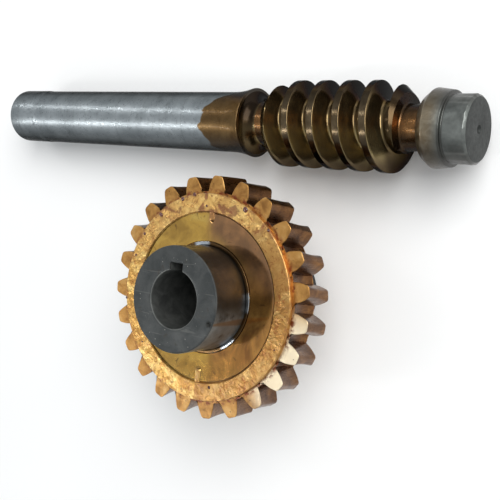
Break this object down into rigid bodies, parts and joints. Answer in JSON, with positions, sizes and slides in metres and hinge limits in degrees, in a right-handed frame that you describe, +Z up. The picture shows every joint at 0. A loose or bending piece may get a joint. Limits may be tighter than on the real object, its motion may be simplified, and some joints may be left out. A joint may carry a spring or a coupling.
{
  "type": "worm gear set",
  "caption": "Bronze worm wheel on a keyed steel hub, lying beside its steel worm, which is cut on a long plain shaft.",
  "frame": {"origin": "middle of the footprint of the two loose parts, on the surface they lie on", "axes": "+Z up along the wheel's axis, +Y along the worm from its journal end to its plain end, +X from the wheel to the worm"},
  "size_m": [0.2369, 0.4303, 0.1224],
  "materials": {
    "washer_steel": "bright ground steel",
    "bronze": "cast gear bronze, turned and hobbed, with a film of oil",
    "hub_steel": "satin dark steel, oiled",
    "screw_steel": "black oxide",
    "worm_steel": "turned steel with brown oil on the thread end"
  },
  "bodies": {
    "housing_side": {"thrust_washer": "washer_steel"},
    "wheel": {"wheel_rim": "bronze", "wheel_hub": "hub_steel", "lock_screw_1": "screw_steel", "lock_screw_2": "screw_steel", "lock_screw_3": "screw_steel", "lock_screw_4": "screw_steel"},
    "worm": {"worm_shaft": "worm_steel"}
  },
  "joints": [
    {"name": "worm_spin", "type": "hinge", "parent": "housing_side", "child": "worm", "pos_m": [0.08805, -0.11381, 0.03152], "axis": [0, -0.9996, 0.0275], "continuous": true},
    {"name": "wheel_spin", "type": "hinge", "parent": "housing_side", "child": "wheel", "pos_m": [-0.03625, -0.05781, 0.0775], "axis": [0, 0, 1], "continuous": true}
  ],
  "couplings": [
    {"joint": "wheel_spin", "follows": "worm_spin", "ratio": 0.043478}
  ]
}
